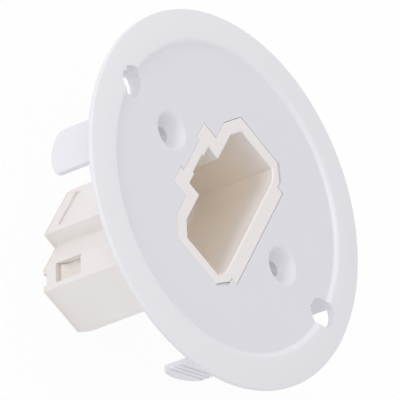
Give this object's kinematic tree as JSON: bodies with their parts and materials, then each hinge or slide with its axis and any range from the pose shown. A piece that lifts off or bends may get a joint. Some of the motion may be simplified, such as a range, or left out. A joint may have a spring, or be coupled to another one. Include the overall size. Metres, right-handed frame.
{
  "type": "ceiling outlet cover",
  "caption": "Round ceiling outlet cover on spring legs, with a keyed lamp plug socket set through the recessed face and its snap-closed terminal box behind.",
  "frame": {"origin": "on the axis of the round plate, in the plane where the back of its rim meets the ceiling", "axes": "+Z out of the face, away from the ceiling; +Y towards the key of the socket; +X across the wide side of the socket"},
  "size_m": [0.085, 0.085, 0.0419],
  "materials": {
    "cover_plastic": "satin",
    "socket_plastic": "satin",
    "rear_plastic": "satin",
    "contact_brass": "bright",
    "spring_steel": "plain"
  },
  "bodies": {
    "root": {"cover_plate": "cover_plastic", "socket_body": "socket_plastic", "rear_cover": "rear_plastic", "line_contact": "contact_brass", "earth_contact": "contact_brass", "neutral_contact": "contact_brass", "line_clamp": "spring_steel", "earth_clamp": "spring_steel", "neutral_clamp": "spring_steel"}
  },
  "joints": []
}
